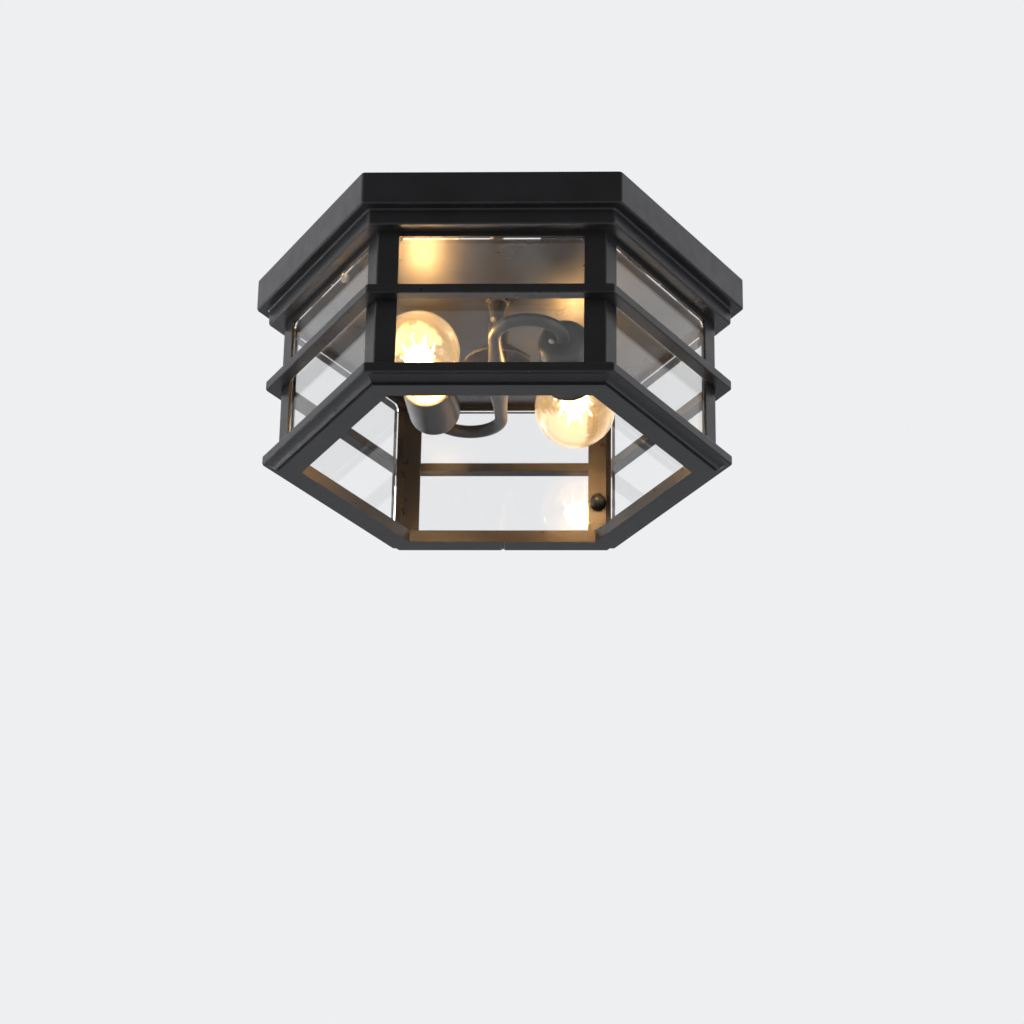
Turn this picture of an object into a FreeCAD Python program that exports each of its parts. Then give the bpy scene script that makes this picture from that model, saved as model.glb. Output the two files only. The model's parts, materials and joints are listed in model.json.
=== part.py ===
"""Six-sided porch ceiling lantern, open at the bottom, with two globe bulbs.

Frame: origin in the middle of the canopy's ceiling face, +Z up into the ceiling,
the flats of the hexagon face +Y and -Y. Sizes are in millimetres.
"""
import FreeCAD
import Part
import math
import os
from FreeCAD import Vector

SIDES = 6
SIDE_ANGLE = 360.0 / SIDES
HALF_ANGLE = SIDE_ANGLE / 2
FIRST_FLAT = HALF_ANGLE

# Clearances; CUT_OVER is how far a cutter runs past what it cuts
turning_gap = 0.3
thread_gap = 0.05
screw_hole_gap = 0.25
pane_gap = 0.3
CUT_OVER = 1.0
NEAR = 0.01

# Canopy pan
canopy_across_flats = 312.0
canopy_sheet = 1.4
canopy_rim_height = 24.6
canopy_ledge = 8.1
canopy_step_height = 12.1
canopy_corner_radius = 3.4
canopy_edge_radius = 1.6

# Cage, set back from the canopy's step
cage_setback = 10.5
top_rail_width = 4.9
top_rail_height = 3.9
post_leg = 14.8
post_sheet = 1.8
post_bend_radius = 2.6
post_height = 103.4
middle_ring_drop = 43.0
middle_ring_height = 7.0
middle_ring_width = 10.1
middle_ring_corner = 3.0
middle_ring_edge = 0.9

# Bottom ring, a folded channel that holds the feet of the panes
bottom_sheet = 1.6
bottom_flange_width = 9.8
bottom_flange_height = 7.5
bottom_rim_height = 1.7
bottom_rim_inset = 0.3
bottom_cove_height = 3.9
bottom_cove_foot = 1.3
bottom_cove_bow_out = 0.32
bottom_cove_bow_up = 0.7
bottom_flange_foot = 2.4
bottom_edge_radius = 1.3
bottom_corner_radius = 2.4
glass_channel_reach = 15.7
inner_wall_height = 9.6
weld_notch_width = 3.2
weld_notch_depth = 1.1

# Glass panes
pane_thickness = 3.0
pane_lap = 0.6
pane_corner_radius = 5.0
spring_thickness = 0.6
spring_width = 12.0
spring_height = 5.6
spring_tip_height = 1.0
bumper_radius = 3.5
bumper_thickness = 1.2
bumper_offset = 20.0

# Screws that hold the cage's top rail to the canopy
cage_screw_radius = 1.5
cage_screw_head_radius = 2.8
cage_screw_head_height = 1.6

# Latch nut on the rear right post
latch_post = 1
latch_drop = 77.4
latch_stud_radius = 2.0
latch_stud_length = 8.6
latch_head_radius = 3.6
latch_head_height = 1.8
latch_nut_radius = 6.0
latch_nut_height = 8.4
latch_nut_skirt = 3.0

# Crossbar on the ceiling box
strap_length = 112.0
strap_width = 22.0
strap_sheet = 2.5
box_screw_spacing = 88.9
box_slot_length = 10.0
box_slot_radius = 2.3
strap_centre_hole_radius = 6.6
ground_screw_place = 19.0
ground_screw_radius = 2.0
ground_screw_head_radius = 4.4
ground_screw_head_height = 2.4

# Canopy studs and their cap nuts
stud_spacing = 70.0
stud_radius = 2.05
stud_length = 50.5
jam_nut_flats = 8.0
jam_nut_height = 3.0
cap_nut_flange_radius = 8.8
cap_nut_flange_height = 1.8
cap_nut_shoulder_radius = 6.6
cap_nut_flange_bevel = 0.6
cap_nut_nose_radius = 5.0
cap_nut_nose_height = 3.2
cap_nut_height = 18.0
cap_nut_roof = 3.4

# Stem and hub on the axis
nipple_radius = 4.9
nipple_bore_radius = 3.4
nipple_rise = 9.0
hex_nut_flats = 16.0
hex_nut_height = 4.0
hex_nut_bevel_reach = 9.9
washer_radius = 9.0
washer_thickness = 1.2
stem_radius = 7.8
stem_length = 23.7
dome_radius = 24.8
dome_height = 9.6
dome_sheet = 1.2
dome_lip = 1.6
dome_crown_radius = 9.6
dome_shoulder_out = 0.83
dome_shoulder_down = 0.36
hub_radius = 10.2
hub_neck_radius = 7.4
hub_height = 21.6
hub_edge_radius = 2.2
hub_boss_reach = 11.4
hub_cap_radius = 6.6
hub_cap_height = 3.0
hub_cap_skirt = 1.0

# Swan-neck arms
arm_drop = 45.6
arm_root_radius = 7.7
arm_tube_radius = 4.8
arm_flare_from = 0.3
arm_flare_to = 0.6
arm_flare_share = 0.4
arm_turn_start = 64.0
arm_turn_radius = 24.2
arm_splay = 3.8
arm_rise = 0.95
arm_exit_length = 6.8

# Lampholder cups
cup_radius = 19.1
cup_length = 55.0
cup_wall = 1.2
cup_back_radius = 7.0
cup_lip = 0.8
cup_fit = 0.1
cup_screw_offset = 8.2
cup_screw_radius = 1.5
cup_screw_head_radius = 2.6
cup_screw_head_height = 1.4
insulator_floor = 18.5
insulator_mouth = 51.0
insulator_bore_radius = 14.0
shell_wall = 0.4
shell_start = 21.0
shell_length = 23.0
contact_width = 6.0
contact_thickness = 0.5
contact_length = 9.0

# Bulbs, E26 base and 60 mm globe
bulb_tip_place = 25.0
bulb_button_radius = 4.6
bulb_button_height = 1.6
bulb_cone_height = 2.6
bulb_base_radius = 13.1
bulb_base_length = 24.0
bulb_base_bevel = 1.2
bulb_base_bevel_length = 1.6
globe_radius = 30.0
globe_centre_place = 103.0
globe_neck_radius = 13.6
globe_shoulder_radius = 30.0
globe_wall = 0.9
mount_flare_radius = 9.0
mount_flare_length = 6.0
mount_waist_place = 2.1
mount_waist_radius = 4.5
mount_post_radius = 3.0
mount_post_length = 22.0
mount_rod_radius = 1.0
mount_rod_length = 30.0
support_inset = 1.0
support_radius = 0.3
filament_loops = 8
filament_radius = 0.4
filament_hook_radius = 0.48
filament_low_radius = 4.0
filament_high_radius = 13.0

# Levels and apothems that follow from the sizes above
canopy_apothem = canopy_across_flats / 2
step_apothem = canopy_apothem - canopy_ledge
ceiling_level = -canopy_rim_height - canopy_step_height
plate_top = ceiling_level + canopy_sheet
cage_apothem = step_apothem - cage_setback
post_inner_apothem = cage_apothem - post_sheet
rail_low = ceiling_level - top_rail_height
post_low = rail_low - post_height
middle_top = rail_low - middle_ring_drop
flange_low = post_low - bottom_flange_height
cove_low = flange_low - bottom_cove_height
bottom_low = cove_low - bottom_rim_height
opening_apothem = cage_apothem - glass_channel_reach
inner_wall_top = bottom_low + inner_wall_height
channel_floor = bottom_low + bottom_sheet
pane_outer = post_inner_apothem - pane_gap
pane_inner = pane_outer - pane_thickness
pane_top = rail_low - pane_gap
pane_low = channel_floor + pane_gap
half_window = cage_apothem * math.tan(math.radians(HALF_ANGLE)) - post_leg
stem_low = ceiling_level - stem_length
dome_low = stem_low - dome_height
hub_top = dome_low
arm_level = ceiling_level - arm_drop
hub_low = hub_top - hub_height
strap_low = -strap_sheet
stud_place = stud_spacing / 2

UP = Vector(0, 0, 1)
ALONG = Vector(1, 0, 0)
ORIGIN = Vector(0, 0, 0)


def section(start, *steps):
    """Face in the XZ plane.

    A step is a point (x, z), two points for an arc or three for a Bezier curve.
    """
    first = Vector(start[0], 0, start[1])
    here = first
    edges = []
    for step in steps + (start,):
        bent = isinstance(step[0], tuple)
        points = [Vector(point[0], 0, point[1]) for point in (step if bent else (step,))]
        if len(points) == 3:
            curve = Part.BezierCurve()
            curve.setPoles([here] + points)
            edges.append(curve.toShape())
        elif bent:
            edges.append(Part.Arc(here, points[0], points[1]).toShape())
        elif (points[0] - here).Length > 1e-6:
            edges.append(Part.makeLine(here, points[0]))
        here = points[-1]
    return Part.Face(Part.Wire(edges))


def turned(face, axis=UP):
    """Solid of revolution of a section about the Z axis or the X axis."""
    return Part.Solid(face.revolve(ORIGIN, axis, 360))


def corner_point(centre, radius, degrees):
    """Point on a round corner, for the middle of its arc."""
    angle = math.radians(degrees)
    return (centre[0] + radius * math.cos(angle), centre[1] + radius * math.sin(angle))


def dome_middle(radius, rise):
    """Half-way point of a spherical dome's arc: out from the axis, up from its edge."""
    sphere = (radius ** 2 + rise ** 2) / (2 * rise)
    lean = math.atan2(radius, sphere - rise) / 2
    return sphere * math.sin(lean), sphere * math.cos(lean) + rise - sphere


def hex_wire(apothem, level, first=0.0):
    """Closed hexagon at a level, first vertex at the given angle."""
    reach = apothem / math.cos(math.radians(HALF_ANGLE))
    points = []
    for k in range(SIDES + 1):
        angle = math.radians(first + k * SIDE_ANGLE)
        points.append(Vector(reach * math.cos(angle), reach * math.sin(angle), level))
    return Part.makePolygon(points)


def hex_prism(apothem, low, high, first=0.0):
    """Upright six-sided prism."""
    return Part.Face(hex_wire(apothem, low, first)).extrude(Vector(0, 0, high - low))


def upright_edges(shape, beyond):
    """Vertical edges that stand farther from the axis than the given radius."""
    found = []
    for edge in shape.Edges:
        start = edge.firstVertex().Point
        end = edge.lastVertex().Point
        run = end - start
        if abs(run.x) + abs(run.y) < 1e-6 and math.hypot(start.x, start.y) > beyond:
            found.append(edge)
    return found


def level_edges(shape, level):
    """Edges that lie in one horizontal plane."""
    found = []
    for edge in shape.Edges:
        box = edge.BoundBox
        if abs(box.ZMin - level) < 1e-6 and abs(box.ZMax - level) < 1e-6:
            found.append(edge)
    return found


def on_side(shape, k):
    """Copy of a piece made on the +X side, turned to flat k."""
    copy = shape.copy()
    copy.rotate(ORIGIN, UP, FIRST_FLAT + k * SIDE_ANGLE)
    return copy


def mitred_ring(face):
    """Six lengths of one section, cut at the mitres and welded together."""
    reach = face.BoundBox.XMax + CUT_OVER
    half = reach * math.tan(math.radians(HALF_ANGLE))
    bar = face.copy()
    bar.translate(Vector(0, -half, 0))
    bar = bar.extrude(Vector(0, 2 * half, 0))
    box = bar.BoundBox
    low = box.ZMin - CUT_OVER
    middle = Vector(0, 0, low)
    wedge = Part.makePolygon([middle, Vector(reach, -half, low), Vector(reach, half, low), middle])
    length = bar.common(Part.Face(wedge).extrude(Vector(0, 0, box.ZLength + 2 * CUT_OVER)))
    lengths = [on_side(length, k) for k in range(SIDES)]
    return lengths[0].multiFuse(lengths[1:]).removeSplitter()


def pin(radius, start, end):
    """Round bar between two points."""
    run = end - start
    return Part.makeCylinder(radius, run.Length, start, run)


# Canopy and what hangs it ---------------------------------------------------

def canopy_form(inset, corner, top):
    """Stepped six-sided block, the outside or the inside of the pan."""
    rim = hex_prism(canopy_apothem - inset, inset - canopy_rim_height, top)
    step = hex_prism(step_apothem - inset, ceiling_level + inset, inset - canopy_rim_height)
    rim = rim.makeFillet(corner, upright_edges(rim, 0))
    step = step.makeFillet(corner, upright_edges(step, 0))
    return rim.fuse(step).removeSplitter()


def canopy():
    outside = canopy_form(0, canopy_corner_radius, 0)
    edges = level_edges(outside, ceiling_level)
    for edge in level_edges(outside, -canopy_rim_height):
        centre = edge.BoundBox.Center
        if math.hypot(centre.x, centre.y) > step_apothem + canopy_ledge / 2:
            edges.append(edge)
    outside = outside.makeFillet(canopy_edge_radius, edges)
    inside = canopy_form(canopy_sheet, canopy_corner_radius - canopy_sheet, CUT_OVER)
    pan = outside.cut(inside)
    drop = Vector(0, 0, -2 * canopy_sheet)
    above = Vector(0, 0, plate_top + canopy_sheet / 2)
    holes = [Part.makeCylinder(nipple_radius + screw_hole_gap, -2 * drop.z, above, drop)]
    for side in (-1, 1):
        place = above + Vector(0, side * stud_place, 0)
        holes.append(Part.makeCylinder(stud_radius + screw_hole_gap, -2 * drop.z, place, drop))
    for k in range(SIDES):
        place = Vector(cage_screw_apothem(), 0, above.z)
        hole = Part.makeCylinder(cage_screw_radius + thread_gap, -2 * drop.z, place, drop)
        holes.append(on_side(hole, k))
    return pan.cut(Part.makeCompound(holes))


def strap():
    """Flat crossbar with round ends, slots for the box screws and tapped holes."""
    half = strap_length / 2 - strap_width / 2
    bar = Part.makeBox(strap_width, 2 * half, strap_sheet, Vector(-strap_width / 2, -half, strap_low))
    for side in (-1, 1):
        end = Part.makeCylinder(strap_width / 2, strap_sheet, Vector(0, side * half, strap_low))
        bar = bar.fuse(end)
    bar = bar.removeSplitter()
    holes = [Part.makeCylinder(strap_centre_hole_radius, strap_sheet, Vector(0, 0, strap_low))]
    run = box_slot_length - 2 * box_slot_radius
    for side in (-1, 1):
        stud = Vector(0, side * stud_place, strap_low)
        holes.append(Part.makeCylinder(stud_radius, strap_sheet, stud))
        middle = side * box_screw_spacing / 2
        slot = Part.makeBox(2 * box_slot_radius, run, strap_sheet,
                            Vector(-box_slot_radius, middle - run / 2, strap_low))
        for end in (-1, 1):
            place = Vector(0, middle + end * run / 2, strap_low)
            slot = slot.fuse(Part.makeCylinder(box_slot_radius, strap_sheet, place))
        holes.append(slot.removeSplitter())
    place = Vector(0, ground_screw_place, strap_low)
    holes.append(Part.makeCylinder(ground_screw_radius, strap_sheet, place))
    return bar.cut(Part.makeCompound(holes))


def ground_screw():
    head = Part.makeCylinder(ground_screw_head_radius, ground_screw_head_height,
                             Vector(0, ground_screw_place, strap_low - ground_screw_head_height))
    rim = level_edges(head, strap_low - ground_screw_head_height)
    head = head.makeFillet(ground_screw_head_height / 3, rim)
    shank = Part.makeCylinder(ground_screw_radius, strap_sheet, Vector(0, ground_screw_place, strap_low))
    return head.fuse(shank).removeSplitter()


def stud(side):
    """Long screw that hangs from the crossbar and passes the canopy."""
    place = Vector(0, side * stud_place, -stud_length)
    shape = Part.makeCylinder(stud_radius, stud_length, place)
    return shape.makeChamfer(stud_radius / 4, level_edges(shape, -stud_length))


def jam_nuts():
    """Two thin nuts that lock the studs against the crossbar."""
    low = strap_low - jam_nut_height
    nut = hex_prism(jam_nut_flats / 2, low, strap_low)
    nut = nut.cut(Part.makeCylinder(stud_radius, jam_nut_height, Vector(0, 0, low)))
    nuts = []
    for side in (-1, 1):
        copy = nut.copy()
        copy.translate(Vector(0, side * stud_place, 0))
        nuts.append(copy)
    return Part.makeCompound(nuts)


def cap_nut(side):
    """Closed nut with a wide flange and a tapered body with a domed nose."""
    top = ceiling_level - turning_gap
    flange_under = top - cap_nut_flange_height
    low = top - cap_nut_height
    bore = stud_radius + thread_gap
    out, rise = dome_middle(cap_nut_nose_radius, cap_nut_nose_height)
    nose = low + cap_nut_nose_height
    body = turned(section(
        (bore, top),
        (cap_nut_flange_radius, top),
        (cap_nut_flange_radius, flange_under),
        (cap_nut_shoulder_radius, flange_under - cap_nut_flange_bevel),
        (cap_nut_nose_radius, nose),
        ((out, nose - rise), (0, low)),
        (0, low + cap_nut_roof),
        (bore, low + cap_nut_roof),
    ))
    body.translate(Vector(0, side * stud_place, 0))
    return body


# Cage -----------------------------------------------------------------------

def cage_screw_apothem():
    return cage_apothem - top_rail_width / 2


def top_rail():
    inner = cage_apothem - top_rail_width
    ring = mitred_ring(section((inner, rail_low), (cage_apothem, rail_low),
                               (cage_apothem, ceiling_level), (inner, ceiling_level)))
    ring = ring.makeFillet(post_bend_radius, upright_edges(ring, cage_apothem + top_rail_width))
    holes = []
    for k in range(SIDES):
        hole = Part.makeCylinder(cage_screw_radius, top_rail_height,
                                 Vector(cage_screw_apothem(), 0, rail_low))
        holes.append(on_side(hole, k))
    return ring.cut(Part.makeCompound(holes))


def cage_screws():
    """Round-head screws through the canopy plate into the top rail."""
    shank = Part.makeCylinder(cage_screw_radius, plate_top - rail_low, Vector(0, 0, rail_low))
    out, rise = dome_middle(cage_screw_head_radius, cage_screw_head_height)
    head = turned(section(
        (0, plate_top),
        (cage_screw_head_radius, plate_top),
        ((out, plate_top + rise), (0, plate_top + cage_screw_head_height)),
    ))
    screw = shank.fuse(head).removeSplitter()
    screw.translate(Vector(cage_screw_apothem(), 0, 0))
    return Part.makeCompound([on_side(screw, k) for k in range(SIDES)])


def corner_post(k):
    """Sheet folded to the corner of the cage; its legs lap the window edges."""
    reach = cage_apothem / math.cos(math.radians(HALF_ANGLE))
    inner_reach = post_inner_apothem / math.cos(math.radians(HALF_ANGLE))
    points = [Vector(reach, 0, post_low)]
    for side in (1, -1):
        along = Vector(-math.sin(math.radians(HALF_ANGLE)), side * math.cos(math.radians(HALF_ANGLE)), 0)
        inward = Vector(-math.cos(math.radians(HALF_ANGLE)), -side * math.sin(math.radians(HALF_ANGLE)), 0)
        end = points[0] + along * post_leg
        leg = [end, end + inward * post_sheet]
        if side == 1:
            points += leg + [Vector(inner_reach, 0, post_low)]
        else:
            points += leg[::-1] + [points[0]]
    post = Part.Face(Part.makePolygon(points)).extrude(Vector(0, 0, post_height))
    post = post.makeFillet(post_bend_radius, upright_edges(post, reach - NEAR))
    bend = []
    for edge in upright_edges(post, 0):
        point = edge.firstVertex().Point
        if abs(point.y) < 1e-6 and abs(point.x - inner_reach) < 1e-6:
            bend.append(edge)
    post = post.makeFillet(post_bend_radius - post_sheet, bend)
    if k == latch_post:
        post = post.cut(latch_hole())
    post.rotate(ORIGIN, UP, k * SIDE_ANGLE)
    return post


def middle_ring():
    """Flat band that runs round the outside of the posts."""
    outer = cage_apothem + middle_ring_width
    low = middle_top - middle_ring_height
    ring = mitred_ring(section((cage_apothem, low), (outer, low), (outer, middle_top),
                               (cage_apothem, middle_top)))
    beyond = outer + middle_ring_width
    ring = ring.makeFillet(middle_ring_corner, upright_edges(ring, beyond))
    edges = []
    for level in (low, middle_top):
        for edge in level_edges(ring, level):
            centre = edge.BoundBox.Center
            if math.hypot(centre.x, centre.y) > outer - middle_ring_edge:
                edges.append(edge)
    return ring.makeFillet(middle_ring_edge, edges)


def bottom_ring():
    """Folded channel: flange, cove and rim outside, glass channel inside."""
    flange = cage_apothem + bottom_flange_width
    cove_start = flange - bottom_flange_foot
    cove_end = cage_apothem + bottom_cove_foot
    rim = cage_apothem - bottom_rim_inset
    wall = opening_apothem + bottom_sheet
    edge = bottom_edge_radius
    sheet = bottom_sheet
    low_corner = corner_point((flange - edge, flange_low + edge), edge, -45)
    top_corner = corner_point((flange - edge, post_low - edge), edge, 45)
    cove_middle = (cove_end + (cove_start - cove_end) * bottom_cove_bow_out,
                   cove_low + bottom_cove_height * bottom_cove_bow_up)
    face = section(
        (post_inner_apothem, post_low),
        (flange - edge, post_low),
        (top_corner, (flange, post_low - edge)),
        (flange, flange_low + edge),
        (low_corner, (flange - edge, flange_low)),
        (cove_start, flange_low),
        (cove_middle, (cove_end, cove_low)),
        (rim, cove_low),
        (rim, bottom_low),
        (opening_apothem, bottom_low),
        (opening_apothem, inner_wall_top),
        (wall, inner_wall_top),
        (wall, channel_floor),
        (rim - sheet / 2, channel_floor),
        (rim - sheet / 2, cove_low + sheet),
        (cove_start, flange_low + sheet),
        (flange - sheet, flange_low + sheet),
        (flange - sheet, post_low - sheet),
        (post_inner_apothem, post_low - sheet),
    )
    ring = mitred_ring(face)
    corners = upright_edges(ring, flange / math.cos(math.radians(HALF_ANGLE)) - NEAR)
    ring = ring.makeFillet(bottom_corner_radius, corners)
    notch = section((-weld_notch_width / 2, bottom_low), (0, bottom_low + weld_notch_depth),
                    (weld_notch_width / 2, bottom_low))
    notch.translate(Vector(0, opening_apothem - CUT_OVER, 0))
    return ring.cut(notch.extrude(Vector(0, rim - opening_apothem + 2 * CUT_OVER, 0)))


def glass_pane(k):
    """Clear pane behind one window, rounded at its two top corners."""
    half = half_window + pane_lap
    pane = Part.makeBox(pane_thickness, 2 * half, pane_top - pane_low, Vector(pane_inner, -half, pane_low))
    corners = []
    for edge in pane.Edges:
        box = edge.BoundBox
        if box.XLength > pane_thickness / 2 and box.ZMin > pane_top - 1e-6:
            corners.append(edge)
    return on_side(pane.makeFillet(pane_corner_radius, corners), k)


def pane_springs():
    """Bent leaves in the channel that press the panes out against the posts."""
    foot = opening_apothem + bottom_sheet + pane_gap
    tip = pane_inner - thread_gap
    floor = channel_floor
    knee = floor + spring_thickness
    leaf = section(
        (foot, floor),
        (foot + spring_height / 2, floor),
        (tip, floor + spring_height - spring_tip_height),
        (tip, floor + spring_height),
        (tip - spring_thickness, floor + spring_height),
        (foot + spring_height / 2 - spring_thickness / 2, knee),
        (foot, knee),
    )
    leaf.translate(Vector(0, -spring_width / 2, 0))
    leaf = leaf.extrude(Vector(0, spring_width, 0))
    return Part.makeCompound([on_side(leaf, k) for k in range(SIDES)])


def pane_bumper():
    """Small round pad on the outside of the left front pane, under the rail."""
    level = rail_low - pane_gap - bumper_radius
    pad = Part.makeCylinder(bumper_radius, bumper_thickness, Vector(pane_outer, bumper_offset, level), ALONG)
    rim = [edge for edge in pad.Edges if edge.BoundBox.XMin > pane_outer + bumper_thickness / 2]
    return on_side(pad.makeFillet(bumper_thickness / 3, rim), 3)


def latch_place():
    """Middle of the post's rear leg, in the post's own place on the +X axis."""
    along = half_window + post_leg / 2
    angle = math.radians(HALF_ANGLE)
    level = rail_low - latch_drop
    normal = Vector(math.cos(angle), math.sin(angle), 0)
    tangent = Vector(math.sin(angle), -math.cos(angle), 0)
    return tangent * along + Vector(0, 0, level), normal


def latch_hole():
    place, normal = latch_place()
    start = place + normal * (post_inner_apothem - CUT_OVER)
    return pin(latch_stud_radius, start, place + normal * (cage_apothem + CUT_OVER))


def latch_stud():
    """Screw through the post, its head outside and its thread inside the cage."""
    place, normal = latch_place()
    out = place + normal * cage_apothem
    shank = pin(latch_stud_radius, out - normal * latch_stud_length, out)
    head = pin(latch_head_radius, out, out + normal * latch_head_height)
    screw = shank.fuse(head).removeSplitter()
    screw.rotate(ORIGIN, UP, latch_post * SIDE_ANGLE)
    return screw


def latch_nut():
    """Domed nut that turns on the latch stud."""
    place, normal = latch_place()
    bore = latch_stud_radius + thread_gap
    depth = latch_stud_length - post_sheet
    out, rise = dome_middle(latch_nut_radius, latch_nut_height - latch_nut_skirt)
    nut = turned(section(
        (0, bore),
        (0, latch_nut_radius),
        (latch_nut_skirt, latch_nut_radius),
        ((latch_nut_skirt + rise, out), (latch_nut_height, 0)),
        (depth, 0),
        (depth, bore),
    ), ALONG)
    nut.rotate(ORIGIN, UP, 180 + HALF_ANGLE)
    nut.translate(place + normal * (post_inner_apothem - turning_gap))
    nut.rotate(ORIGIN, UP, latch_post * SIDE_ANGLE)
    return nut


# Stem and hub ---------------------------------------------------------------

def stem_nipple():
    """Hollow threaded tube from above the canopy plate into the hub."""
    top = plate_top + nipple_rise
    low = hub_top - hub_height / 4
    tube = Part.makeCylinder(nipple_radius, top - low, Vector(0, 0, low))
    return tube.cut(Part.makeCylinder(nipple_bore_radius, top - low, Vector(0, 0, low)))


def lock_washer():
    ring = Part.makeCylinder(washer_radius, washer_thickness, Vector(0, 0, plate_top))
    return ring.cut(Part.makeCylinder(nipple_radius, washer_thickness, Vector(0, 0, plate_top)))


def hex_nut():
    low = plate_top + washer_thickness
    nut = hex_prism(hex_nut_flats / 2, low, low + hex_nut_height, HALF_ANGLE)
    crown = Part.makeCone(hex_nut_bevel_reach, hex_nut_flats / 2, hex_nut_height, Vector(0, 0, low))
    nut = nut.common(crown)
    return nut.cut(Part.makeCylinder(nipple_radius, hex_nut_height, Vector(0, 0, low)))


def stem():
    """Smooth tube round the nipple, from the canopy plate to the dome."""
    tube = Part.makeCylinder(stem_radius, stem_length, Vector(0, 0, stem_low))
    return tube.cut(Part.makeCylinder(nipple_radius, stem_length, Vector(0, 0, stem_low)))


def hub_dome():
    """Spun bell over the hub, with a short upright lip."""
    crown = dome_crown_radius
    lip = dome_low + dome_lip
    shoulder = (dome_radius * dome_shoulder_out, stem_low - dome_height * dome_shoulder_down)
    slant = dome_sheet / math.sqrt(2)
    inner = dome_radius - dome_sheet
    under = stem_low - dome_sheet
    return turned(section(
        (nipple_radius, stem_low),
        (crown, stem_low),
        (shoulder, (dome_radius, lip)),
        (dome_radius, dome_low),
        (inner, dome_low),
        (inner, lip),
        ((shoulder[0] - slant, shoulder[1] - slant), (crown, under)),
        (nipple_radius, under),
    ))


def hub():
    """Turned hub with a neck up inside the dome and two flat bosses."""
    neck_top = stem_low - dome_sheet
    edge = hub_edge_radius
    body = turned(section(
        (0, hub_low),
        (hub_radius - edge, hub_low),
        (corner_point((hub_radius - edge, hub_low + edge), edge, -45), (hub_radius, hub_low + edge)),
        (hub_radius, hub_top - edge),
        (corner_point((hub_radius - edge, hub_top - edge), edge, 45), (hub_radius - edge, hub_top)),
        (hub_neck_radius, hub_top),
        (hub_neck_radius, neck_top),
        (0, neck_top),
    ))
    boss = pin(arm_root_radius, Vector(0, 0, arm_level), Vector(0, -hub_boss_reach, arm_level))
    for side in ("a", "b"):
        body = body.fuse(on_arm(boss, side))
    low = hub_top - hub_height / 4
    return body.removeSplitter().cut(Part.makeCylinder(nipple_radius, neck_top - low, Vector(0, 0, low)))


def hub_cap():
    rim = hub_low - hub_cap_skirt
    out, rise = dome_middle(hub_cap_radius, hub_cap_height - hub_cap_skirt)
    return turned(section(
        (0, hub_low),
        (hub_cap_radius, hub_low),
        (hub_cap_radius, rim),
        ((out, rim - rise), (0, hub_low - hub_cap_height)),
    ))


# Arms, lampholders and bulbs: side A, then side B half a turn round ---------

def on_arm(shape, side):
    """Lift a piece made for side A with its arm's rise; side B is half a turn round."""
    copy = shape.copy()
    copy.rotate(Vector(0, 0, arm_level), ALONG, -arm_rise)
    if side == "b":
        copy.rotate(ORIGIN, UP, 180)
    return copy


def past_turn(shape):
    """Move a piece turned about +X to the line that leaves the turn of arm A."""
    splay = math.radians(arm_splay)
    copy = shape.copy()
    copy.rotate(ORIGIN, UP, 90 - arm_splay)
    along = Vector(math.sin(splay), math.cos(splay), 0)
    turn_end = Vector(arm_turn_radius * (1 + math.cos(splay)),
                      -arm_turn_start - arm_turn_radius * math.sin(splay), arm_level)
    copy.translate(turn_end + along * arm_exit_length)
    return copy


def on_cup_axis(shape, side):
    """Move a piece turned about +X to the axis of lampholder A or B."""
    return on_arm(past_turn(shape), side)


def arm(side):
    """Swan neck: a flared leg from the hub, a round turn, a short run to the cup."""
    length = arm_turn_start - hub_boss_reach
    flare = arm_root_radius - arm_tube_radius
    leg = turned(section(
        (0, 0),
        (0, arm_root_radius),
        ((length * arm_flare_from, arm_root_radius - flare * arm_flare_share),
         (length * arm_flare_to, arm_tube_radius), (length, arm_tube_radius)),
        (length, 0),
    ), ALONG)
    leg.rotate(ORIGIN, UP, -90)
    leg.translate(Vector(0, -hub_boss_reach, arm_level))
    start = Vector(0, -arm_turn_start, arm_level)
    ring = Part.Face(Part.Wire(Part.makeCircle(arm_tube_radius, start, Vector(0, 1, 0))))
    turn = ring.revolve(Vector(arm_turn_radius, -arm_turn_start, arm_level), UP, 180 - arm_splay)
    run = pin(arm_tube_radius, Vector(-arm_exit_length, 0, 0), ORIGIN)
    shape = leg.fuse(Part.Solid(turn)).fuse(past_turn(run)).removeSplitter()
    return on_arm(shape, side)


def cup(side):
    """Drawn cup with a closed, rounded back and a small rolled lip."""
    back = cup_back_radius
    inner = cup_radius - cup_wall
    bend = back - cup_wall
    shape = turned(section(
        (0, 0),
        (0, cup_radius - back),
        (corner_point((back, cup_radius - back), back, 135), (back, cup_radius)),
        (cup_length - 2 * cup_lip, cup_radius),
        ((cup_length - cup_lip, cup_radius + cup_lip), (cup_length, cup_radius)),
        (cup_length, inner),
        (back, inner),
        (corner_point((back, cup_radius - back), bend, 135), (cup_wall, cup_radius - back)),
        (cup_wall, 0),
    ), ALONG)
    return on_cup_axis(shape.cut(cup_screw_shank()), side)


def cup_screw_shank():
    place = Vector(0, cup_screw_offset, 0)
    return pin(cup_screw_radius, place, place + ALONG * (insulator_floor / 2))


def cup_screw(side):
    """Small round-head screw in the cup's back, beside the arm."""
    place = Vector(0, cup_screw_offset, 0)
    out, rise = dome_middle(cup_screw_head_radius, cup_screw_head_height)
    head = turned(section(
        (0, 0),
        (0, cup_screw_head_radius),
        ((-rise, out), (-cup_screw_head_height, 0)),
    ), ALONG)
    head.translate(place)
    return on_cup_axis(head.fuse(cup_screw_shank()).removeSplitter(), side)


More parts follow.
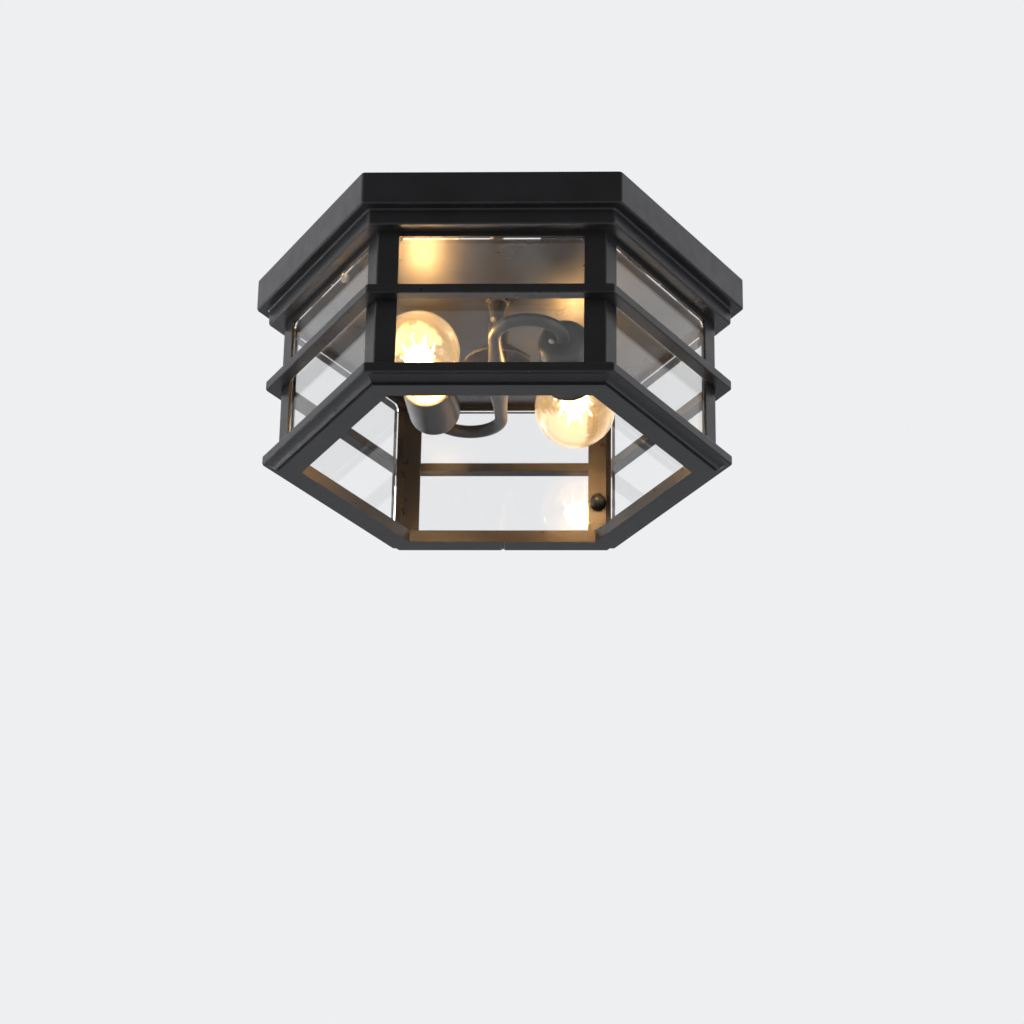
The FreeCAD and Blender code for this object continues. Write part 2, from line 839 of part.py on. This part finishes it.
def insulator(side):
    """Glazed body inside the cup, bored for the screw shell and the bulb."""
    back = cup_back_radius
    outer = cup_radius - cup_wall - cup_fit
    shape = turned(section(
        (cup_wall, 0),
        (cup_wall, cup_radius - back - cup_fit),
        (corner_point((back, cup_radius - back - cup_fit), back - cup_wall, 135), (back, outer)),
        (insulator_mouth, outer),
        (insulator_mouth, insulator_bore_radius),
        (insulator_floor, insulator_bore_radius),
        (insulator_floor, 0),
    ), ALONG)
    return on_cup_axis(shape.cut(cup_screw_shank()), side)


def screw_shell(side):
    """Thin sleeve that the bulb screws into."""
    outer = insulator_bore_radius
    inner = outer - shell_wall
    end = shell_start + shell_length
    shape = turned(section((shell_start, inner), (shell_start, outer), (end, outer), (end, inner)), ALONG)
    return on_cup_axis(shape, side)


def centre_contact(side):
    """Sprung tongue on the insulator's floor, just short of the bulb's button."""
    tip = bulb_tip_place - turning_gap
    half = contact_length / 2
    tongue = section(
        (insulator_floor, -half),
        (insulator_floor + contact_thickness, -half),
        (tip, -contact_thickness * 2),
        (tip, contact_thickness * 2),
        (tip - contact_thickness, contact_thickness * 2),
        (tip - contact_thickness, -contact_thickness),
        (insulator_floor + contact_thickness, -half + contact_thickness * 2),
        (insulator_floor, -half + contact_thickness * 2),
    )
    tongue.translate(Vector(0, -contact_width / 2, 0))
    return on_cup_axis(tongue.extrude(Vector(0, contact_width, 0)), side)


def bulb_base_end():
    return bulb_tip_place + bulb_base_length


def bulb_base(side):
    """Screw cap of the bulb: button, insulating cone and shell."""
    cone_start = bulb_tip_place + bulb_button_height
    shell = cone_start + bulb_cone_height
    out, rise = dome_middle(bulb_button_radius, bulb_button_height)
    shape = turned(section(
        (bulb_tip_place, 0),
        ((cone_start - rise, out), (cone_start, bulb_button_radius)),
        (shell, bulb_base_radius - bulb_base_bevel),
        (shell + bulb_base_bevel_length, bulb_base_radius),
        (bulb_base_end(), bulb_base_radius),
        (bulb_base_end(), 0),
    ), ALONG)
    return on_cup_axis(shape, side)


def globe_form(inset):
    """Section of the bulb's glass: neck, hollow shoulder and round globe."""
    ball = globe_radius - inset
    shoulder = globe_shoulder_radius + inset
    neck = globe_neck_radius - inset
    reach = math.sqrt((ball + shoulder) ** 2 - (neck + shoulder) ** 2)
    neck_end = globe_centre_place - reach
    share = ball / (ball + shoulder)
    join = (globe_centre_place - reach * share, (neck + shoulder) * share)
    lean = math.degrees(math.atan2(reach, neck + shoulder))
    middle = corner_point((neck_end, neck + shoulder), shoulder, -90 + lean / 2)
    swell = corner_point((globe_centre_place, 0), ball, (90 + lean) / 2)
    return section(
        (bulb_base_end(), 0),
        (bulb_base_end(), neck),
        (neck_end, neck),
        (middle, join),
        (swell, (globe_centre_place + ball, 0)),
    )


def globe(side):
    glass = turned(globe_form(0), ALONG).cut(turned(globe_form(globe_wall), ALONG))
    return on_cup_axis(glass, side)


def loop_point(k, place, radius):
    """Point k of a ring of filament hooks about the bulb's axis."""
    angle = math.radians(180.0 / filament_loops * k)
    return Vector(place, radius * math.cos(angle), radius * math.sin(angle))


def mount_top():
    return bulb_base_end() + mount_flare_length + mount_post_length


def glass_mount(side):
    """Flared glass foot with its post, a rod and the filament's support wires."""
    base = bulb_base_end()
    neck = base + mount_flare_length
    top = mount_top()
    end = top + mount_rod_length
    foot = turned(section(
        (base, 0),
        (base, mount_flare_radius),
        ((base + mount_waist_place, mount_waist_radius), (neck, mount_post_radius)),
        (top, mount_post_radius),
        (top, mount_rod_radius),
        (end, mount_rod_radius),
        (end, 0),
    ), ALONG)
    wires = []
    fan = end - support_inset
    for k in range(filament_loops):
        tip = loop_point(2 * k + 1, fan, filament_high_radius - filament_radius)
        wires.append(pin(support_radius, Vector(fan, 0, 0), tip))
    return on_cup_axis(foot.multiFuse(wires).removeSplitter(), side)


def filament(side):
    """Cage filament: straight wires zigzag between two rings of hooks."""
    low = mount_top() + filament_radius
    high = mount_top() + mount_rod_length - support_inset
    points = []
    for k in range(2 * filament_loops + 1):
        if k % 2:
            points.append(loop_point(k, high, filament_high_radius))
        else:
            points.append(loop_point(k, low, filament_low_radius))
    wires = [pin(filament_radius, start, end) for start, end in zip(points, points[1:])]
    hooks = [Part.makeSphere(filament_hook_radius, point) for point in points[:-1]]
    return on_cup_axis(wires[0].multiFuse(wires[1:] + hooks), side)


def pieces():
    """Every node of the lantern by name."""
    nodes = {
        "canopy": canopy(),
        "crossbar": strap(),
        "ground_screw": ground_screw(),
        "jam_nuts": jam_nuts(),
        "top_rail": top_rail(),
        "cage_screws": cage_screws(),
        "middle_ring": middle_ring(),
        "bottom_ring": bottom_ring(),
        "pane_springs": pane_springs(),
        "pane_bumper": pane_bumper(),
        "latch_stud": latch_stud(),
        "latch_nut": latch_nut(),
        "stem_nipple": stem_nipple(),
        "lock_washer": lock_washer(),
        "hex_nut": hex_nut(),
        "stem": stem(),
        "hub_dome": hub_dome(),
        "hub": hub(),
        "hub_cap": hub_cap(),
    }
    for name, side in (("front", -1), ("rear", 1)):
        nodes["stud_" + name] = stud(side)
        nodes["cap_nut_" + name] = cap_nut(side)
    for k in range(SIDES):
        nodes["corner_post_%d" % (k + 1)] = corner_post(k)
        nodes["glass_pane_%d" % (k + 1)] = glass_pane(k)
    makers = (arm, cup, cup_screw, insulator, screw_shell, centre_contact,
              bulb_base, globe, glass_mount, filament)
    for make in makers:
        for side in ("a", "b"):
            nodes["%s_%s" % (make.__name__, side)] = make(side)
    return nodes


def main():
    os.makedirs("parts", exist_ok=True)
    for name, shape in pieces().items():
        shape.exportStep("parts/%s.step" % name)
        box = shape.BoundBox
        print("%-18s %s solids %d volume %.1f  x %.1f..%.1f y %.1f..%.1f z %.1f..%.1f" % (
            name, "ok" if shape.isValid() else "BAD", len(shape.Solids), shape.Volume,
            box.XMin, box.XMax, box.YMin, box.YMax, box.ZMin, box.ZMax))


main()
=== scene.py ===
"""Looks of the six-sided porch ceiling lantern: finishes, lit bulbs, camera and light."""
import json
import math

import bpy
from mathutils import Matrix, Vector

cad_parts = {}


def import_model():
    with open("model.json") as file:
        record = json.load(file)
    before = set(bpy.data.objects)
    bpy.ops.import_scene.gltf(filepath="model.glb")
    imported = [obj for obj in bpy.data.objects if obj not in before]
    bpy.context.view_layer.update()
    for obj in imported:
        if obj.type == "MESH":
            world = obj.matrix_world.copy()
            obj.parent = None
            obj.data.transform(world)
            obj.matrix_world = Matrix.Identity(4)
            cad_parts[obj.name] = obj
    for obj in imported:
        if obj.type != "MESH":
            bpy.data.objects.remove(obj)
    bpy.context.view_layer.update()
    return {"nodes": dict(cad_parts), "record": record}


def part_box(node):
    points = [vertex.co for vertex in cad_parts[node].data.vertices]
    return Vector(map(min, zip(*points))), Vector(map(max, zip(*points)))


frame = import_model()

NODES = frame["nodes"]
SIDES = ("a", "b")
MM = 0.001

# Camera: below the lantern, looking up at it, in the object's own frame
CAMERA_TURN = math.radians(2.265)
CAMERA_CLIMB = math.radians(24.846)
CAMERA_ROLL = math.radians(0.947)
CAMERA_DISTANCE = 2.2566
CAMERA_AIM = Vector((0.01027, 0.03793, -0.17098))
CAMERA_LENS = 108.75
CAMERA_SENSOR = 36.0

# Backdrop: what the eye, glass and gloss see; gloss sees less of it on the viewer's side
BACKDROP = (0.86, 0.865, 0.885)
VIEWER_SIDE_SHARE = 0.16
FADE_START = -0.6
FADE_END = 0.7

# Light from all round, on everything else
ROUND_LIGHT = (0.9, 0.93, 1.0)
ROUND_STRENGTH = 0.42

# Floor, well below the lantern, and how far it is lifted towards the backdrop
FLOOR_LEVEL = -1.3
FLOOR_SIZE = 12.0
FLOOR_LIFT = 0.42
FLOOR_DARK = (0.78, 0.78, 0.79)
FLOOR_LIGHT = (0.8, 0.8, 0.81)
FLOOR_CLOUD = 120
FLOOR_ROUGHNESS = 0.7

# Studio lamps: name, place, width in metres and watts
LAMPS = (
    ("key_left", (-1.9, -0.7, 0.2), 1.2, 14),
    ("fill_right", (1.8, -0.9, -0.2), 1.2, 7),
    ("rim_left", (-1.7, 1.7, -0.25), 0.7, 16),
)
LAMP_TARGET = Vector((0, 0, -0.08))

# Light of a lit bulb
WARM = (1.0, 0.66, 0.34)
BULB_WATTS = 0.7
BULB_GLOW_RADIUS = 0.011

# Shading is smooth up to this angle between faces
SMOOTH_ANGLE = math.radians(32)

# Noise: octaves of detail, and the part of its range that a ramp spreads out
PLAIN = 1
SOFT = 2
MIXED = 3
FINE = 4
RAMP_START = 0.3
RAMP_END = 0.7
EVEN = (1, 1, 1)

# Below, sizes of noise features and depths of bump are in millimetres

# Coat of the canopy, rings and posts
COAT_DARK = (0.012, 0.012, 0.0125)
COAT_LIGHT = (0.018, 0.018, 0.019)
COAT_ROUGHNESS = (0.27, 0.38)
COAT_CLOUD = 34
COAT_GLOSS_PATCH = 11
PEEL = 0.9
PEEL_DEPTH = 0.02
GRIT = 0.25
GRIT_DEPTH = 0.006

# Flat underside of the canopy, seen through the panes
PLATE_DARK = (0.085, 0.085, 0.086)
PLATE_LIGHT = (0.115, 0.115, 0.116)
PLATE_ROUGHNESS = (0.27, 0.32)
PLATE_GLOSS_PATCH = 26
PLATE_METAL = 0.85
PLATE_MARGIN = 0.3
CANOPY_PEEL_DEPTH = 0.015
BRUSH = 0.8
BRUSH_STRETCH = (60, 1, 1)
BRUSH_DEPTH = 0.01

# Smoother, slightly metallic coat of the pieces inside the cage
FITTINGS = ("stem", "hub", "arm", "cup", "cap_nut")
FITTING_DARK = (0.055, 0.054, 0.053)
FITTING_LIGHT = (0.07, 0.069, 0.067)
FITTING_ROUGHNESS = (0.34, 0.4)
FITTING_METAL = 0.35
FITTING_CLOUD = 14
FITTING_GLOSS_PATCH = 6
FITTING_PEEL = 0.8
FITTING_PEEL_DEPTH = 0.004

# Bright plated steel
ZINC = (0.55, 0.55, 0.53)
BULB_CAP = (0.66, 0.65, 0.62)
PLATED_SHADE = 0.82
PLATED_ROUGHNESS = (0.28, 0.45)
PLATED_CLOUD = 7
PLATED_GLOSS_PATCH = 3
SCRATCH = 0.3
SCRATCH_STRETCH = (12, 1, 1)
SCRATCH_DEPTH = 0.01

# Lacquer on the ground screw
LACQUER_GREEN = (0.03, 0.2, 0.06)
LACQUER_SHADE = 0.7
LACQUER_ROUGHNESS = 0.35
LACQUER_CLOUD = 4
LACQUER_PEEL = 0.5
LACQUER_PEEL_DEPTH = 0.01

# Clear glass: tint, range of roughness, and depth of its ripple
PANE_GLASS = ((0.975, 0.985, 0.98), (0.0, 0.02), 0.02)
MOUNT_GLASS = ((0.95, 0.93, 0.88), (0.02, 0.08), 0.05)
BUMPER_CLEAR = ((0.9, 0.9, 0.88), (0.2, 0.35), 0.02)
GLASS_IOR = 1.5
SMEAR = 22
SMEAR_STRETCH = (1, 1, 2)
RIPPLE = 40

# Amber glass of the bulbs, with rings along the Y axis
GLOBE_TINT = (1.0, 0.9, 0.72)
GLOBE_SHADOW_TINT = (1.0, 0.88, 0.68)
GLOBE_ROUGHNESS = (0.05, 0.11)
GLOBE_CLOUD = 18
GLOBE_GLOW = 0.12
RING_PITCH = 3.4
RING_DEPTH = 0.012
RING_WOBBLE = 9
RING_WOBBLE_PATCH = 16

# Filament
WIRE_BASE = (0.9, 0.6, 0.3)
WIRE_GLOW = (1.0, 0.66, 0.3)
WIRE_STRENGTH = 24.0
WIRE_HEAT = (0.7, 1.0)
WIRE_HEAT_PATCH = 5
WIRE_ROUGHNESS = 0.5

# Glazed porcelain
GLAZE_LIGHT = (0.74, 0.7, 0.6)
GLAZE_DARK = (0.64, 0.6, 0.5)
GLAZE_ROUGHNESS = 0.2
GLAZE_CLOUD = 9
GLAZE_WAVE = 2.5
GLAZE_WAVE_DEPTH = 0.03

# Brass
BRASS_BRIGHT = (0.66, 0.45, 0.16)
BRASS_TARNISHED = (0.42, 0.27, 0.1)
BRASS_ROUGHNESS = (0.22, 0.42)
BRASS_CLOUD = 3
BRASS_GLOSS_PATCH = 2


# Node helpers ----------------------------------------------------------------

class Tree:
    """A node tree with short calls for the nodes used here."""

    def __init__(self, tree):
        self.tree = tree
        self.tree.nodes.clear()

    def feed(self, socket, value):
        """Link a socket from another one, or give it a plain value."""
        if isinstance(value, bpy.types.NodeSocket):
            self.tree.links.new(value, socket)
        elif socket.type == "RGBA":
            socket.default_value = (*value, 1.0)
        else:
            socket.default_value = value

    def node(self, kind, **values):
        """New node, with its sockets fed by name (an underscore stands for a space)."""
        node = self.tree.nodes.new(kind)
        for name, value in values.items():
            self.feed(node.inputs[name.replace("_", " ")], value)
        return node

    def math(self, operation, *values):
        node = self.tree.nodes.new("ShaderNodeMath")
        node.operation = operation
        for socket, value in zip(node.inputs, values):
            self.feed(socket, value)
        return node.outputs[0]

    def mix_shaders(self, factor, first, second):
        """The first shader where the factor is 0, the second where it is 1."""
        mix = self.node("ShaderNodeMixShader", Fac=factor)
        self.feed(mix.inputs[1], first)
        self.feed(mix.inputs[2], second)
        return mix.outputs["Shader"]


class Paint(Tree):
    """A material, with the procedural patterns that its finish is made of."""

    def __init__(self, name):
        self.material = bpy.data.materials.new(name)
        self.material.use_nodes = True
        super().__init__(self.material.node_tree)
        self.output = self.node("ShaderNodeOutputMaterial")
        self.place = self.node("ShaderNodeTexCoord").outputs["Object"]

    def noise(self, size_mm, detail, stretch=EVEN):
        """Noise whose features are about size_mm across; stretch lengthens them."""
        scale = [1 / (size_mm * MM * s) for s in stretch]
        mapping = self.node("ShaderNodeMapping", Vector=self.place, Scale=scale)
        noise = self.node("ShaderNodeTexNoise", Vector=mapping.outputs["Vector"],
                          Scale=1.0, Detail=detail, Roughness=0.5)
        return noise.outputs["Fac"]

    def ramp(self, value, low=0.0, high=1.0):
        """Noise spread out between low and high."""
        node = self.node("ShaderNodeMapRange", Value=value,
                         From_Min=RAMP_START, From_Max=RAMP_END, To_Min=low, To_Max=high)
        return node.outputs["Result"]

    def patches(self, size_mm, detail, limits):
        """Soft patches of a number between two limits."""
        return self.ramp(self.noise(size_mm, detail), *limits)

    def blend(self, factor, first, second):
        """Colour between two colours."""
        node = self.tree.nodes.new("ShaderNodeMix")
        node.data_type = "RGBA"
        self.feed(node.inputs[0], factor)
        self.feed(node.inputs[6], first)
        self.feed(node.inputs[7], second)
        return node.outputs[2]

    def clouds(self, size_mm, detail, first, second):
        """Soft clouds of one colour in another."""
        return self.blend(self.ramp(self.noise(size_mm, detail)), first, second)

    def bump(self, height, depth_mm, **under):
        """Normal for a height of up to depth_mm, on top of another Normal if one is given."""
        node = self.node("ShaderNodeBump", Height=height, Distance=depth_mm * MM,
                         Strength=1.0, **under)
        return node.outputs["Normal"]

    def principled(self, **values):
        return self.node("ShaderNodeBsdfPrincipled", **values).outputs["BSDF"]

    def finish(self, shader):
        self.feed(self.output.inputs["Surface"], shader)
        return self.material


def darker(colour, share):
    return tuple(share * c for c in colour)


# Materials -------------------------------------------------------------------

def black_coat():
    """Satin powder coat: fine orange peel, faint tone changes and softer gloss patches."""
    paint = Paint("black_coat")
    base = paint.clouds(COAT_CLOUD, FINE, COAT_DARK, COAT_LIGHT)
    gloss = paint.patches(COAT_GLOSS_PATCH, MIXED, COAT_ROUGHNESS)
    peel = paint.bump(paint.noise(PEEL, SOFT), PEEL_DEPTH)
    bump = paint.bump(paint.noise(GRIT, PLAIN), GRIT_DEPTH, Normal=peel)
    return paint.finish(paint.principled(Base_Color=base, Roughness=gloss, Normal=bump))


def fitting_coat():
    """Smoother, slightly metallic coat on the stem, dome, hub, arms and cups."""
    paint = Paint("fitting_coat")
    base = paint.clouds(FITTING_CLOUD, MIXED, FITTING_DARK, FITTING_LIGHT)
    gloss = paint.patches(FITTING_GLOSS_PATCH, MIXED, FITTING_ROUGHNESS)
    bump = paint.bump(paint.noise(FITTING_PEEL, SOFT), FITTING_PEEL_DEPTH)
    return paint.finish(paint.principled(Base_Color=base, Metallic=FITTING_METAL,
                                         Roughness=gloss, Normal=bump))


def canopy_coat():
    """The coat on the pan; its flat underside is smoother, metallic and faintly brushed."""
    paint = Paint("canopy_coat")
    height = paint.node("ShaderNodeSeparateXYZ", Vector=paint.place).outputs["Z"]
    plate_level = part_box("canopy")[0][2]
    plate = paint.math("LESS_THAN", height, plate_level + PLATE_MARGIN * MM)
    rest = paint.math("SUBTRACT", 1.0, plate)
    brushed = paint.noise(BRUSH, FINE, BRUSH_STRETCH)
    coat = paint.clouds(COAT_CLOUD, FINE, COAT_DARK, COAT_LIGHT)
    underside = paint.blend(paint.ramp(brushed), PLATE_DARK, PLATE_LIGHT)
    coat_gloss = paint.patches(COAT_GLOSS_PATCH, MIXED, COAT_ROUGHNESS)
    plate_gloss = paint.patches(PLATE_GLOSS_PATCH, MIXED, PLATE_ROUGHNESS)
    gloss = paint.math("ADD", paint.math("MULTIPLY", plate, plate_gloss),
                       paint.math("MULTIPLY", rest, coat_gloss))
    peel = paint.bump(paint.noise(PEEL, SOFT), CANOPY_PEEL_DEPTH)
    bump = paint.bump(brushed, BRUSH_DEPTH, Normal=peel)
    base = paint.blend(plate, coat, underside)
    metal = paint.math("MULTIPLY", plate, PLATE_METAL)
    return paint.finish(paint.principled(Base_Color=base, Metallic=metal,
                                         Roughness=gloss, Normal=bump))


def plated_steel(name, colour):
    """Bright plated steel, with darker clouds and fine scratches."""
    paint = Paint(name)
    base = paint.clouds(PLATED_CLOUD, MIXED, colour, darker(colour, PLATED_SHADE))
    gloss = paint.patches(PLATED_GLOSS_PATCH, MIXED, PLATED_ROUGHNESS)
    bump = paint.bump(paint.noise(SCRATCH, MIXED, SCRATCH_STRETCH), SCRATCH_DEPTH)
    return paint.finish(paint.principled(Base_Color=base, Metallic=1.0,
                                         Roughness=gloss, Normal=bump))


def lacquer(name, colour):
    """Plain lacquer over metal."""
    paint = Paint(name)
    base = paint.clouds(LACQUER_CLOUD, SOFT, colour, darker(colour, LACQUER_SHADE))
    bump = paint.bump(paint.noise(LACQUER_PEEL, SOFT), LACQUER_PEEL_DEPTH)
    return paint.finish(paint.principled(Base_Color=base, Roughness=LACQUER_ROUGHNESS,
                                         Normal=bump))


def lets_light_through(paint, glass, tint):
    """The glass to every ray but a lamp's, which it passes unbent."""
    clear = paint.node("ShaderNodeBsdfTransparent", Color=tint).outputs["BSDF"]
    shadow = paint.node("ShaderNodeLightPath").outputs["Is Shadow Ray"]
    return paint.mix_shaders(shadow, glass, clear)


def clear_glass(name, tint, roughness, ripple_depth):
    """Clear glass with slight smears and ripples; lamp light passes straight through it."""
    paint = Paint(name)
    smear = paint.ramp(paint.noise(SMEAR, FINE, SMEAR_STRETCH), *roughness)
    bump = paint.bump(paint.noise(RIPPLE, PLAIN), ripple_depth)
    glass = paint.principled(Base_Color=tint, Roughness=smear, IOR=GLASS_IOR,
                             Transmission_Weight=1.0, Normal=bump)
    return paint.finish(lets_light_through(paint, glass, tint))


def globe_glass():
    """Amber glass, blown with fine rings round the bulb's axis; it glows a little."""
    paint = Paint("bulb_glass")
    wobble = paint.math("MULTIPLY", paint.noise(RING_WOBBLE_PATCH, SOFT), RING_WOBBLE * MM)
    along = paint.node("ShaderNodeSeparateXYZ", Vector=paint.place).outputs["Y"]
    phase = paint.math("MULTIPLY", paint.math("ADD", along, wobble),
                       2 * math.pi / (RING_PITCH * MM))
    bump = paint.bump(paint.math("SINE", phase), RING_DEPTH)
    glass = paint.principled(Base_Color=GLOBE_TINT, IOR=GLASS_IOR, Transmission_Weight=1.0,
                             Roughness=paint.patches(GLOBE_CLOUD, MIXED, GLOBE_ROUGHNESS),
                             Emission_Color=WARM, Emission_Strength=GLOBE_GLOW, Normal=bump)
    return paint.finish(lets_light_through(paint, glass, GLOBE_SHADOW_TINT))


def glowing_wire():
    """White-hot filament, a little uneven along its length."""
    paint = Paint("filament_wire")
    heat = paint.patches(WIRE_HEAT_PATCH, SOFT, WIRE_HEAT)
    strength = paint.math("MULTIPLY", heat, WIRE_STRENGTH)
    return paint.finish(paint.principled(Base_Color=WIRE_BASE, Roughness=WIRE_ROUGHNESS,
                                         Emission_Color=WIRE_GLOW, Emission_Strength=strength))


def glazed_body():
    """Cream glazed porcelain."""
    paint = Paint("glazed_body")
    base = paint.clouds(GLAZE_CLOUD, MIXED, GLAZE_LIGHT, GLAZE_DARK)
    bump = paint.bump(paint.noise(GLAZE_WAVE, SOFT), GLAZE_WAVE_DEPTH)
    return paint.finish(paint.principled(Base_Color=base, Roughness=GLAZE_ROUGHNESS,
                                         Normal=bump))


def brass():
    """Plain stamped brass with a little tarnish."""
    paint = Paint("brass")
    base = paint.clouds(BRASS_CLOUD, FINE, BRASS_BRIGHT, BRASS_TARNISHED)
    gloss = paint.patches(BRASS_GLOSS_PATCH, MIXED, BRASS_ROUGHNESS)
    return paint.finish(paint.principled(Base_Color=base, Metallic=1.0, Roughness=gloss))


def dress(nodes, material):
    """Put one material on several CAD nodes."""
    for name in nodes:
        slots = NODES[name].data.materials
        slots.clear()
        slots.append(material)


def dress_frame():
    """Give each node the finish that its slot in the record asks for."""
    groups = {}
    for part in frame["record"]["subparts"]:
        groups.setdefault(part["material_slot"], []).append(part["node"])
    coated = [name for name in groups["black_coat"] if name != "canopy"]
    fittings = [name for name in coated if name.startswith(FITTINGS)]
    dress([name for name in coated if name not in fittings], black_coat())
    dress(fittings, fitting_coat())
    dress(["canopy"], canopy_coat())
    dress(groups["zinc_steel"], plated_steel("zinc_steel", ZINC))
    dress(groups["bulb_cap"], plated_steel("bulb_cap", BULB_CAP))
    dress(groups["green_screw"], lacquer("green_screw", LACQUER_GREEN))
    dress(groups["pane_glass"], clear_glass("pane_glass", *PANE_GLASS))
    dress(groups["mount_glass"], clear_glass("mount_glass", *MOUNT_GLASS))
    dress(groups["bumper_clear"], clear_glass("bumper_clear", *BUMPER_CLEAR))
    dress(groups["bulb_glass"], globe_glass())
    dress(groups["filament_wire"], glowing_wire())
    dress(groups["glazed_body"], glazed_body())
    dress(groups["brass"], brass())


def soften_edges():
    """Smooth shading on round faces, crisp at real edges."""
    for node in NODES.values():
        bpy.context.view_layer.objects.active = node
        node.select_set(True)
        bpy.ops.object.shade_auto_smooth(angle=SMOOTH_ANGLE)
        node.select_set(False)


# Stage, light and camera -----------------------------------------------------

def place_object(name, data):
    """New object in the scene."""
    item = bpy.data.objects.new(name, data)
    bpy.context.scene.collection.objects.link(item)
    return item


def eye_or_glass(tree):
    """The light path's outputs, and 1 for a ray that the eye or glass sees by."""
    path = tree.node("ShaderNodeLightPath").outputs
    seen = tree.math("MAXIMUM", path["Is Camera Ray"], path["Is Transmission Ray"])
    return path, seen


def floor():
    """Pale floor that keeps the shadow and is lifted towards the backdrop to the eye."""
    half = FLOOR_SIZE / 2
    corners = [(x, y, FLOOR_LEVEL) for x, y in
               ((-half, -half), (half, -half), (half, half), (-half, half))]
    mesh = bpy.data.meshes.new("floor")
    mesh.from_pydata(corners, [], [(0, 1, 2, 3)])
    paint = Paint("floor")
    base = paint.clouds(FLOOR_CLOUD, MIXED, FLOOR_DARK, FLOOR_LIGHT)
    seen = eye_or_glass(paint)[1]
    lift = paint.math("MULTIPLY", seen, FLOOR_LIFT)
    shader = paint.principled(Base_Color=base, Roughness=FLOOR_ROUGHNESS,
                              Emission_Color=BACKDROP, Emission_Strength=lift)
    mesh.materials.append(paint.finish(shader))
    place_object("floor", mesh)


def world():
    """Pale backdrop to the eye, glass and gloss; plain light on everything else."""
    sky = bpy.data.worlds.new("studio")
    bpy.context.scene.world = sky
    sky.use_nodes = True
    tree = Tree(sky.node_tree)
    way = tree.node("ShaderNodeTexCoord").outputs["Generated"]
    side = tree.node("ShaderNodeSeparateXYZ", Vector=way).outputs["Y"]
    fade = tree.node("ShaderNodeMapRange", Value=side, From_Min=FADE_START, From_Max=FADE_END,
                     To_Min=VIEWER_SIDE_SHARE, To_Max=1.0)
    fade.interpolation_type = "SMOOTHSTEP"
    around = tree.node("ShaderNodeBackground", Color=ROUND_LIGHT, Strength=ROUND_STRENGTH)
    gleam = tree.node("ShaderNodeBackground", Color=BACKDROP, Strength=fade.outputs[0])
    pale = tree.node("ShaderNodeBackground", Color=BACKDROP, Strength=1.0)
    path, seen = eye_or_glass(tree)
    unseen = tree.mix_shaders(path["Is Glossy Ray"], around.outputs[0], gleam.outputs[0])
    shown = tree.mix_shaders(seen, unseen, pale.outputs[0])
    tree.node("ShaderNodeOutputWorld", Surface=shown)


def area_lamp(name, place, width, watts):
    """Soft round lamp that faces the lantern and isn't seen itself."""
    light = bpy.data.lights.new(name, "AREA")
    light.shape = "DISK"
    light.size = width
    light.energy = watts
    lamp = place_object(name, light)
    lamp.location = place
    lamp.visible_camera = False
    lamp.rotation_euler = (LAMP_TARGET - Vector(place)).to_track_quat("-Z", "Y").to_euler()


def bulb_light(side):
    """The light that a lit filament gives, from inside its globe."""
    low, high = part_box("filament_" + side)
    light = bpy.data.lights.new("bulb_light_" + side, "POINT")
    light.energy = BULB_WATTS
    light.color = WARM
    light.shadow_soft_size = BULB_GLOW_RADIUS
    lamp = place_object("bulb_light_" + side, light)
    lamp.location = (Vector(low) + Vector(high)) / 2


def camera():
    """The photograph's viewing angle."""
    data = bpy.data.cameras.new("camera")
    data.lens = CAMERA_LENS
    data.sensor_width = CAMERA_SENSOR
    eye = place_object("camera", data)
    turn = Matrix.Rotation(CAMERA_TURN, 4, "Z")
    climb = Matrix.Rotation(math.pi / 2 + CAMERA_CLIMB, 4, "X")
    roll = Matrix.Rotation(CAMERA_ROLL, 4, "Z")
    stance = turn @ climb @ roll
    back = stance @ Vector((0, 0, 1))
    eye.matrix_world = Matrix.Translation(CAMERA_AIM + back * CAMERA_DISTANCE) @ stance
    bpy.context.scene.camera = eye


def main():
    bpy.context.scene.view_settings.view_transform = "Standard"
    dress_frame()
    soften_edges()
    floor()
    world()
    for lamp in LAMPS:
        area_lamp(*lamp)
    for side in SIDES:
        bulb_light(side)
    camera()


main()
